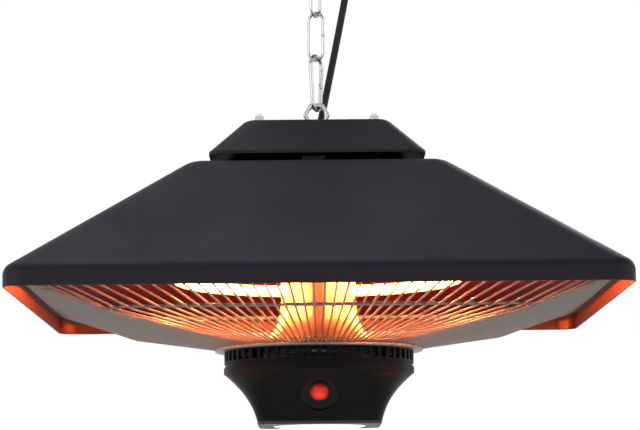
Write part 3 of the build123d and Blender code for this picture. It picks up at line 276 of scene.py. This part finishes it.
cord_rubber = finish("cord_rubber", CORD_BLACK, roughness=0.52, drift=0.3, patch=0.0012, grain=0.0005,
                     relief=0.00003, stretch=CORD_STREAK)
set_skin(cord_rubber, Specular_IOR_Level=0.35)
route = bpy.data.curves.new("cord_route", "CURVE")
route.dimensions = "3D"
route.resolution_u = ROUTE_STEPS
spline = route.splines.new("NURBS")
spline.points.add(len(CORD_ROUTE) - 1)
for point, place in zip(spline.points, CORD_ROUTE):
    point.co = (*place, 1)
spline.order_u = 3
spline.use_endpoint_u = True
cord_path = [corner.co.copy() for corner in mesh_of(route).vertices]
route.bevel_depth = CORD / 2
route.bevel_resolution = ROUND_STEPS
route.use_fill_caps = True
cord = put("cord", tube_of(route, cord_rubber))
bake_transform(cord)
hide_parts("power_cord")
dress(cord_rubber, "cord_tail", "rose_tail")

# Ceiling rose
# A pressed steel cover, powder coated satin black like the canopy, hides a zinc plate that is screwed to
# the ceiling and a white terminal block. The cord comes in through a black nylon gland.
COAT_BLACK = (0.0128, 0.0112, 0.0158)
COAT_GLOSS = (0.93, 0.86, 1.0, 1.0)
NYLON_BLACK = (0.012, 0.012, 0.013)
MOULDED_WHITE = (0.78, 0.77, 0.73)


def black_coat(name):
    """The satin black powder coat of the pressed sheets, with its fine orange-peel texture."""
    coat = finish(name, COAT_BLACK, roughness=0.52, drift=0.1, patch=0.09, grain=0.0011, relief=0.00004)
    return set_skin(coat, Specular_IOR_Level=0.3, Specular_Tint=COAT_GLOSS)


powder_coat = black_coat("powder_coat")
nylon = finish("black_nylon", NYLON_BLACK, roughness=0.5, patch=0.01, grain=0.0003)
white_plastic = finish("white_plastic", MOULDED_WHITE, roughness=0.42, drift=0.04, patch=0.008)
dress(powder_coat, "rose_cover")
dress(nylon, "rose_gland", "gland_nut", "cord_grommet")
dress(white_plastic, "rose_terminal", "terminal_block")

# Zinc-plated hardware
# The ceiling hook, the snap hook, the chain links, rods, nuts, washers and screws are steel with bright
# zinc plate, which is a little cloudy from patch to patch. They hook, screw and clamp the heater together.
ZINC = (0.56, 0.57, 0.56)
zinc = finish("bright_zinc", ZINC, roughness=0.24, metallic=1.0, patch=0.012, grain=0.0015, relief=0.000003)
dress(zinc, "ceiling_hook", "hook_nut", "rose_plate", "snap_hook", "snap_gate", "gate_pin", "chain_link_1",
      "chain_link_2", "eye_washer", "eye_nut", "hanger_rods", "rod_nuts", "rod_washers", "tie_rod",
      "tie_nuts", "pod_screws")

# Eye bolt
# A drop-forged steel eye with bright zinc plate. Its outside has six flats with softened edges, and its
# shank has a rolled thread, which goes through the hood and the plate under it and takes the nut.
HOOD_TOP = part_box("hood")[1][2]
EYE_MIDDLE = HOOD_TOP + 0.0151
EYE_POINT = 0.0145
EYE_FLATS = 6
EYE_CUTS = 7
EYE_HOLE = 0.0085
EYE_DEPTH = 0.0060
EYE_EDGE = 0.0014
EDGE_STEPS = 4
SHARP_ANGLE = math.radians(30)
NECK, NECK_TOP = 0.0030, HOOD_TOP + 0.0049
COLLAR, COLLAR_TOP = 0.0085, HOOD_TOP + 0.0030
COLLAR_EDGE = 0.0005
SHANK, SHANK_END = 0.0040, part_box("eye_bolt")[0][2]
THREAD_DEPTH, THREAD_PITCH = 0.0006, 0.00125
THREAD_WIDTH = 0.94 * THREAD_PITCH
THREAD_SEAT = 0.0002
THREAD_STEPS = 24
THREAD_TURNS = 17
TURNED_STEPS = 48


def turned(mesh, outline):
    """Turns an outline of radii and heights once around the upright axis."""
    corners = [mesh.verts.new((reach, 0, level)) for reach, level in outline]
    edges = [mesh.edges.new(pair) for pair in zip(corners, corners[1:])]
    bmesh.ops.spin(mesh, geom=corners + edges, cent=(0, 0, 0), axis=(0, 0, 1), angle=2 * math.pi,
                   steps=TURNED_STEPS, use_merge=True)


def soften(mesh, size):
    """Rounds every sharp edge of a mesh."""
    sharp = [edge for edge in mesh.edges if edge.calc_face_angle(0) > SHARP_ANGLE]
    bmesh.ops.bevel(mesh, geom=sharp, offset=size, segments=EDGE_STEPS, affect="EDGES", profile=0.5,
                    material=-1, clamp_overlap=True)


def new_piece(name, mesh, material, body):
    """Makes a piece of a finished mesh that moves with one body."""
    bmesh.ops.recalc_face_normals(mesh, faces=mesh.faces)
    data = bpy.data.meshes.new(name)
    mesh.to_mesh(data)
    mesh.free()
    data.materials.append(material)
    data.shade_smooth()
    data.set_sharp_from_angle(angle=SHARP_ANGLE)
    piece = put(name, data)
    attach(piece, body)
    return piece


eye_mesh = bmesh.new()
upright = Matrix.Translation((0, 0, EYE_MIDDLE)) @ Matrix.Rotation(math.pi / 2, 4, "X")
points_sideways = upright @ Matrix.Rotation(math.pi / EYE_FLATS, 4, "Z")
bmesh.ops.create_circle(eye_mesh, segments=EYE_FLATS, radius=EYE_POINT, matrix=points_sideways)
bmesh.ops.subdivide_edges(eye_mesh, edges=eye_mesh.edges[:], cuts=EYE_CUTS)
bmesh.ops.create_circle(eye_mesh, segments=EYE_FLATS * (EYE_CUTS + 1), radius=EYE_HOLE,
                        matrix=points_sideways)
bmesh.ops.bridge_loops(eye_mesh, edges=eye_mesh.edges[:])
bmesh.ops.solidify(eye_mesh, geom=eye_mesh.faces[:], thickness=EYE_DEPTH)
off_centre = sum(corner.co.y for corner in eye_mesh.verts) / len(eye_mesh.verts)
bmesh.ops.translate(eye_mesh, verts=eye_mesh.verts[:], vec=(0, -off_centre, 0))
bmesh.ops.recalc_face_normals(eye_mesh, faces=eye_mesh.faces)
soften(eye_mesh, EYE_EDGE)
core = SHANK - THREAD_DEPTH
turned(eye_mesh, (
    (0, NECK_TOP), (NECK, NECK_TOP), (NECK, COLLAR_TOP),
    (COLLAR - COLLAR_EDGE, COLLAR_TOP), (COLLAR, COLLAR_TOP - COLLAR_EDGE),
    (COLLAR, HOOD_TOP + COLLAR_EDGE), (COLLAR - COLLAR_EDGE, HOOD_TOP),
    (core, HOOD_TOP), (core, SHANK_END + COLLAR_EDGE), (core - COLLAR_EDGE, SHANK_END), (0, SHANK_END),
))
ridge_top = HOOD_TOP - THREAD_PITCH
ridge = eye_mesh.faces.new([eye_mesh.verts.new(place) for place in (
    (core - THREAD_SEAT, 0, ridge_top),
    (SHANK, 0, ridge_top - THREAD_WIDTH / 2),
    (core - THREAD_SEAT, 0, ridge_top - THREAD_WIDTH),
)])
bmesh.ops.spin(eye_mesh, geom=[ridge], cent=(0, 0, 0), axis=(0, 0, 1), angle=2 * math.pi * THREAD_TURNS,
               dvec=(0, 0, -THREAD_PITCH / THREAD_STEPS), steps=THREAD_STEPS * THREAD_TURNS)
bmesh.ops.remove_doubles(eye_mesh, verts=eye_mesh.verts[:], dist=SEAM_GAP)
forged_eye = new_piece("eye_bolt_forged", eye_mesh, zinc, "heater")
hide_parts("eye_bolt")

# Chain link welds
# Each link is bent from one zinc-plated steel wire and butt welded halfway down one of its long sides,
# where the wire has a small swelling.
LINK_SIDE = 0.0089
LINK_WELD = 0.00195
LINK_WELD_STRETCH = 1.25
LINK_TURNS = {"chain_link_1": -32.0, "chain_link_2": 58.0}
bead_mesh = bmesh.new()
for link, degrees in LINK_TURNS.items():
    turn = math.radians(degrees)
    halfway = sum(corner[2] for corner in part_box(link)) / 2
    spot = Matrix.Translation((LINK_SIDE * math.cos(turn), LINK_SIDE * math.sin(turn), halfway))
    bmesh.ops.create_icosphere(bead_mesh, subdivisions=3, radius=LINK_WELD,
                               matrix=spot @ Matrix.Diagonal((1, 1, LINK_WELD_STRETCH, 1)))
new_piece("link_welds", bead_mesh, zinc, "chain")

# Hood, canopy and hanger plate
# Pressed steel sheets with folded edges, powder coated satin black. The canopy's inside is bare metal,
# painted an orange brown that stands in for the lamp's glow on it. The hanger plate, the terminal block's
# bracket and the pod's lid have a flatter coat.
BRACKET_BLACK = (0.012, 0.012, 0.013)
SHEET_CENTRE = (0.0, 0.0, -0.47)
PAINTED_LAMP_GLOW_BROWN = (0.16, 0.053, 0.026)
BARE_ROUGHNESS = 0.5
BARE_METALLIC = 0.8
BARE_EDGE = 0.004


def bare_and_lamp_lit_inside(material):
    """Leaves the faces of a coated sheet that look towards the sheet's centre as bare metal, painted an
    orange brown that stands in for the lamp's glow.
    """
    tree = material.node_tree
    skin = tree.nodes["Principled BSDF"]
    place = tree.nodes.new("ShaderNodeTexCoord")
    inward = tree.nodes.new("ShaderNodeVectorMath")
    inward.operation = "SUBTRACT"
    inward.inputs[0].default_value = SHEET_CENTRE
    tree.links.new(place.outputs["Object"], inward.inputs[1])
    facing = tree.nodes.new("ShaderNodeVectorMath")
    facing.operation = "DOT_PRODUCT"
    tree.links.new(place.outputs["Normal"], facing.inputs[0])
    tree.links.new(inward.outputs["Vector"], facing.inputs[1])
    bare = between(tree, facing.outputs["Value"], 0.0, 1.0, 0.0, BARE_EDGE)
    coat = skin.inputs["Base Color"].links[0].from_socket
    # The inside faces get a painted orange-brown lamp glow in place of the coat's colour.
    tree.links.new(mixed(tree, "RGBA", bare, coat, (*PAINTED_LAMP_GLOW_BROWN, 1)), skin.inputs["Base Color"])
    gloss = skin.inputs["Roughness"].links[0].from_socket
    tree.links.new(mixed(tree, "FLOAT", bare, gloss, BARE_ROUGHNESS), skin.inputs["Roughness"])
    tree.links.new(between(tree, bare, 0.0, BARE_METALLIC, 0.0, 1.0), skin.inputs["Metallic"])


bracket_coat = finish("bracket_coat", BRACKET_BLACK, roughness=0.6, patch=0.03, grain=0.0009, relief=0.00003)
set_skin(bracket_coat, Specular_IOR_Level=0.1)
sheet_coat = black_coat("sheet_coat")
bare_and_lamp_lit_inside(sheet_coat)
dress(sheet_coat, "canopy")
dress(powder_coat, "hood")
dress(bracket_coat, "hanger_plate", "terminal_bracket", "pod_lid")

# Spacers
# Drawn aluminium tubes slide over the four long rods and keep the hood, canopy and reflector apart. The
# upper ones, in the vent gap, are painted flat black.
ALUMINIUM = (0.62, 0.63, 0.65)
DRAWN_STREAK = (1, 1, 0.03)
aluminium = finish("drawn_aluminium", ALUMINIUM, roughness=0.3, metallic=1.0, patch=0.01, grain=0.0004,
                   stretch=DRAWN_STREAK)
dress(aluminium, "lower_spacers")
dress(bracket_coat, "upper_spacers")

# Reflector
# A tray pressed from thin sheet, painted a matt red brown that stands in for the lamp's red glow on it,
# with its gloss tinted red as a painted reflection of the lamp. It hangs on the four rods inside the canopy
# and throws the lamp's heat down.
PAINTED_LAMP_GLOW_RED = (0.14, 0.014, 0.005)
PAINTED_LAMP_REFLECTION_RED = (0.35, 0.08, 0.04, 1.0)
# Painted lamp glow: the red brown colour and the red gloss tint stand in for the lamp's light on the tray.
lamp_lit_sheet = finish("lamp_lit_sheet", PAINTED_LAMP_GLOW_RED, roughness=0.42, metallic=0.75, drift=0.1, patch=0.07,
                      grain=0.0015)
set_skin(lamp_lit_sheet, Specular_IOR_Level=0.1, Specular_Tint=PAINTED_LAMP_REFLECTION_RED)
dress(lamp_lit_sheet, "reflector")

# Ring lamp
# A quartz tube that glows all over, with a coiled wire in it, and white ceramic caps on its two ends. A
# steel plate and three spring clips hold it. Its leads are sleeved in woven glass.
SKIRT_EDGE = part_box("canopy")[0][2]
LAMP_RADIUS, LAMP_LEVEL = 0.145, SKIRT_EDGE + 0.033
LAMP_FRONT = -math.pi / 2
LAMP_GAP = math.radians(31.0)
COIL_RADIUS = 0.0033
COIL_WIRE = 0.0005
COIL_TURNS = 236
COIL_STEPS = 12
QUARTZ = (0.9, 0.5, 0.25)
TUBE_GLOW = (1.0, 0.22, 0.035, 1.0)
TUBE_POWER = 36.0
TUBE_VEIL = 0.22
RESISTANCE_WIRE = (0.5, 0.3, 0.2)
WIRE_GLOW = (1.0, 0.27, 0.06, 1.0)
WIRE_POWER = 450.0
CERAMIC_WHITE = (0.78, 0.75, 0.69)
SPRING_STEEL = (0.5, 0.49, 0.47)
GLASS_YARN = (0.5, 0.46, 0.38)
quartz = finish("glowing_quartz", QUARTZ, roughness=0.08, patch=0.02, relief=0.0)
set_skin(quartz, Emission_Color=TUBE_GLOW, Emission_Strength=TUBE_POWER, Alpha=TUBE_VEIL)
hot_wire = finish("hot_wire", RESISTANCE_WIRE, roughness=0.5, patch=0.02, relief=0.0)
set_skin(hot_wire, Emission_Color=WIRE_GLOW, Emission_Strength=WIRE_POWER)
ceramic = finish("white_ceramic", CERAMIC_WHITE, roughness=0.6, drift=0.06, patch=0.006, grain=0.0005)
spring_steel = finish("spring_steel", SPRING_STEEL, roughness=0.33, metallic=1.0, patch=0.01)
sleeve = finish("glass_sleeve", GLASS_YARN, roughness=0.75, patch=0.002, grain=0.0006, relief=0.0001)
dress(quartz, "lamp_tube")
dress(hot_wire, "lamp_filament")
dress(ceramic, "lamp_caps")
dress(spring_steel, "lamp_plate", "lamp_clips", "guard_clips")
dress(sleeve, "lamp_leads", "pod_cable")
coil_curve = bpy.data.curves.new("lamp_coil", "CURVE")
coil_curve.dimensions = "3D"
coil_line = coil_curve.splines.new("POLY")
steps = COIL_TURNS * COIL_STEPS
coil_line.points.add(steps)
for step, point in enumerate(coil_line.points):
    along = LAMP_FRONT + LAMP_GAP + (2 * math.pi - 2 * LAMP_GAP) * step / steps
    round_wire = 2 * math.pi * step / COIL_STEPS
    reach = LAMP_RADIUS + COIL_RADIUS * math.cos(round_wire)
    rise = LAMP_LEVEL + COIL_RADIUS * math.sin(round_wire)
    point.co = (reach * math.cos(along), reach * math.sin(along), rise, 1)
coil_curve.bevel_depth = COIL_WIRE
coil_curve.bevel_resolution = 0
coil_curve.use_fill_caps = True
lamp_coil = put("lamp_coil", tube_of(coil_curve, hot_wire))
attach(lamp_coil, "heater")

# Guard
# Drawn steel wires with dull nickel plate. Each radial wire is spot welded to the rim wire, the square
# brace and the hub ring, and every weld has a small flattened bead.
WIRE_COUNT = 144
WELD_SIZE = 0.0017
WELD_FLATNESS = 0.6
RIM_HALF, RIM_CORNER, RIM_LEVEL = 0.288, 0.090, SKIRT_EDGE + 0.015
BRACE_HALF, BRACE_CORNER, BRACE_LEVEL = 0.206, 0.022, SKIRT_EDGE - 0.014
HUB_RADIUS, HUB_LEVEL = 0.106, SKIRT_EDGE - 0.0386
DULL_NICKEL = (0.30, 0.272, 0.254)


def square_reach(half, corner, angle):
    """How far out a square hoop with rounded corners lies in one direction."""
    x, y = abs(math.cos(angle)), abs(math.sin(angle))
    side = half / max(x, y)
    middle = half - corner
    if side * min(x, y) <= middle:
        return side
    return middle * (x + y) + math.sqrt(corner ** 2 - (middle * (x - y)) ** 2)


nickel = finish("dull_nickel", DULL_NICKEL, roughness=0.46, metallic=0.6, patch=0.012, grain=0.0005)
dress(nickel, "guard_wires", "guard_hoops")
weld_mesh = bmesh.new()
flat = Matrix.Diagonal((1, 1, WELD_FLATNESS, 1))
for number in range(WIRE_COUNT):
    angle = 2 * math.pi * (number + 0.5) / WIRE_COUNT
    spots = (
        (square_reach(RIM_HALF, RIM_CORNER, angle), RIM_LEVEL),
        (square_reach(BRACE_HALF, BRACE_CORNER, angle), BRACE_LEVEL),
        (HUB_RADIUS, HUB_LEVEL),
    )
    for reach, level in spots:
        spot = Matrix.Translation((reach * math.cos(angle), reach * math.sin(angle), level))
        bmesh.ops.create_icosphere(weld_mesh, subdivisions=1, radius=WELD_SIZE, matrix=spot @ flat)
new_piece("guard_welds", weld_mesh, nickel, "heater")

# Column
# A tube of rolled stainless sheet over a spun, trumpet-shaped foot, brushed along its length. Its straw tint
# is painted lamp glow. The tie rod inside it clamps the reflector, the column and the pod's lid together.
PAINTED_LAMP_GLOW_STRAW = (0.62, 0.43, 0.26)
BRUSHED_STREAK = (1, 1, 0.05)
# Painted lamp glow: the straw colour stands in for the lamp's yellow light on the polished steel.
brushed_steel = finish("brushed_steel", PAINTED_LAMP_GLOW_STRAW, roughness=0.36, metallic=1.0, drift=0.05, patch=0.02,
                       relief=0.000004, stretch=BRUSHED_STREAK, gloss_drift=0.03)
dress(brushed_steel, "column", "column_foot")

# Pod
# A moulded control housing, slotted under a silver painted ring and flared down to a square foot. Its
# plastic is a satin black with a fine spark-eroded grain, and a frame screws on underneath.
RING_SILVER = (0.27, 0.255, 0.255)
POD_BLACK = (0.0075, 0.0058, 0.0068)
FRAME_BLACK = (0.03, 0.03, 0.034)
silver = finish("silver_paint", RING_SILVER, roughness=0.38, metallic=0.7, drift=0.05, patch=0.02,
                grain=0.0004)
pod_plastic = finish("pod_plastic", POD_BLACK, roughness=0.5, patch=0.03, grain=0.0005, relief=0.00003)
set_skin(pod_plastic, Specular_IOR_Level=0.12)
frame_plastic = finish("frame_plastic", FRAME_BLACK, roughness=0.5, patch=0.02)
dress(silver, "pod_ring")
dress(pod_plastic, "pod_collar", "pod_body")
dress(frame_plastic, "pod_frame")

# Frame screws
# Four zinc-plated pan head screws with a cross recess hold the frame to bosses in the pod. Their heads sit
# level with the frame's underside.
SCREW_PLACE = 0.04667
SCREW_HEAD, SCREW_SHANK = 0.0028, 0.0015
HEAD_FACE, SCREW_TIP = (corner[2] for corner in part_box("frame_screws"))
HEAD_SEAT = HEAD_FACE + 0.0016
HEAD_ROUND = 0.0005
RECESS_LENGTH, RECESS_WIDTH, RECESS_DEPTH = 0.0030, 0.0007, 0.0008
cutter = bmesh.new()
for turn in (0, math.pi / 2):
    arm = Matrix.Rotation(turn, 4, "Z") @ Matrix.Diagonal((RECESS_LENGTH, RECESS_WIDTH, 2 * RECESS_DEPTH, 1))
    bmesh.ops.create_cube(cutter, size=1, matrix=Matrix.Translation((0, 0, HEAD_FACE)) @ arm)
cutter_data = bpy.data.meshes.new("cross")
cutter.to_mesh(cutter_data)
cutter.free()
cross = put("cross", cutter_data)
screw_mesh = bmesh.new()
turned(screw_mesh, (
    (0, HEAD_FACE), (SCREW_HEAD - 2 * HEAD_ROUND, HEAD_FACE),
    (SCREW_HEAD - HEAD_ROUND / 2, HEAD_FACE + HEAD_ROUND / 2),
    (SCREW_HEAD, HEAD_FACE + 2 * HEAD_ROUND), (SCREW_HEAD, HEAD_SEAT), (SCREW_SHANK, HEAD_SEAT),
    (SCREW_SHANK, SCREW_TIP - HEAD_ROUND), (SCREW_SHANK - HEAD_ROUND, SCREW_TIP), (0, SCREW_TIP),
))
bmesh.ops.remove_doubles(screw_mesh, verts=screw_mesh.verts[:], dist=SEAM_GAP)
bmesh.ops.recalc_face_normals(screw_mesh, faces=screw_mesh.faces)
blank_data = bpy.data.meshes.new("screw_blank")
screw_mesh.to_mesh(blank_data)
screw_mesh.free()
blank = put("screw_blank", blank_data)
cut = blank.modifiers.new("recess", "BOOLEAN")
cut.operation = "DIFFERENCE"
cut.solver = "EXACT"
cut.use_self = True
cut.object = cross
bpy.context.view_layer.update()
driven = bpy.data.meshes.new_from_object(blank.evaluated_get(bpy.context.evaluated_depsgraph_get()))
bpy.data.objects.remove(blank)
bpy.data.objects.remove(cross)
four_screws = bmesh.new()
for x in (-SCREW_PLACE, SCREW_PLACE):
    for y in (-SCREW_PLACE, SCREW_PLACE):
        before = len(four_screws.verts)
        four_screws.from_mesh(driven)
        four_screws.verts.ensure_lookup_table()
        bmesh.ops.translate(four_screws, verts=four_screws.verts[before:], vec=(x, y, 0))
pan_screws = new_piece("frame_screws_cross", four_screws, zinc, "heater")
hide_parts("frame_screws")

# Sensor
# A dome lens of red plastic is snapped into a round black bezel on the pod's front. One small lamp lights
# it from behind, so that it is brightest a little below its middle and dark at its edge.
lens_low, lens_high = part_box("sensor_lens")
SPOT_DEPTH, SPOT_DROP = 0.00243, 0.00339
LENS_SPOT = (0.0, lens_low[1] + SPOT_DEPTH, (lens_low[2] + lens_high[2]) / 2 - SPOT_DROP)
LENS_CORE, LENS_REACH = 0.001, 0.0115
LENS_BRIGHT, LENS_DIM = 0.98, 0.03
LENS_RED = (0.16, 0.003, 0.003)
LENS_GLOW = (1.0, 0.04, 0.018, 1.0)
BEZEL_BLACK = (0.0045, 0.004, 0.005)
bezel_black = finish("bezel_black", BEZEL_BLACK, roughness=0.3, drift=0.1, patch=0.02, relief=0.0)
set_skin(bezel_black, Specular_IOR_Level=0.18)
red_lens = finish("red_lens", LENS_RED, roughness=0.16, drift=0.05, patch=0.01, relief=0.0)
set_skin(red_lens, Emission_Color=LENS_GLOW, Specular_IOR_Level=0.25)
lens_tree = red_lens.node_tree
from_spot = lens_tree.nodes.new("ShaderNodeVectorMath")
from_spot.operation = "DISTANCE"
from_spot.inputs[1].default_value = LENS_SPOT
lens_tree.links.new(lens_tree.nodes.new("ShaderNodeTexCoord").outputs["Object"], from_spot.inputs[0])
lens_glow = between(lens_tree, from_spot.outputs["Value"], LENS_BRIGHT, LENS_DIM, LENS_CORE, LENS_REACH)
lens_tree.links.new(lens_glow, lens_tree.nodes["Principled BSDF"].inputs["Emission Strength"])
dress(bezel_black, "lens_bezel")
dress(red_lens, "sensor_lens")

# Light
# A round diffuser of opal plastic fills the foot of the pod. Concentric prisms inside it spread the light
# of the chips above, and they show as faint brighter rings.
PRISM_PITCH = 0.003
PRISM_DEPTH = 0.0004
PRISM_DIM, PRISM_BRIGHT = 0.6, 1.15
WAVE_RADIANS = 20
OPAL_WHITE = (0.9, 0.9, 0.95)
COOL_WHITE = (0.84, 0.88, 1.0, 1.0)
opal = finish("opal", OPAL_WHITE, roughness=0.3, drift=0.02, patch=0.02, relief=0.0)
set_skin(opal, Emission_Color=COOL_WHITE)
opal_tree = opal.node_tree
opal_skin = opal_tree.nodes["Principled BSDF"]
prisms = opal_tree.nodes.new("ShaderNodeTexWave")
prisms.wave_type = "RINGS"
prisms.rings_direction = "Z"
# At a scale of 1 the waves run through 20 radians in each metre.
prisms.inputs["Scale"].default_value = 2 * math.pi / (WAVE_RADIANS * PRISM_PITCH)
opal_tree.links.new(opal_tree.nodes.new("ShaderNodeTexCoord").outputs["Object"], prisms.inputs["Vector"])
prism_bump = opal_tree.nodes.new("ShaderNodeBump")
prism_bump.inputs["Distance"].default_value = PRISM_DEPTH
opal_tree.links.new(prisms.outputs["Fac"], prism_bump.inputs["Height"])
opal_tree.links.new(prism_bump.outputs["Normal"], opal_skin.inputs["Normal"])
prism_glow = between(opal_tree, prisms.outputs["Fac"], PRISM_DIM, PRISM_BRIGHT, 0.0, 1.0)
opal_tree.links.new(prism_glow, opal_skin.inputs["Emission Strength"])
dress(opal, "light_diffuser")
dress(white_plastic, "light_chips")

# Boards inside the pod
# Green circuit boards carry the light chips, the sensor and the controls, with a wound transformer and two
# sealed relays in black moulded cases.
BOARD_GREEN = (0.03, 0.14, 0.05)
CASE_BLACK = (0.015, 0.015, 0.016)
board = finish("circuit_board", BOARD_GREEN, roughness=0.45, patch=0.004)
moulded_black = finish("moulded_black", CASE_BLACK, roughness=0.55, patch=0.01)
dress(board, "light_board", "sensor_board", "control_board")
dress(moulded_black, "transformer", "relays")
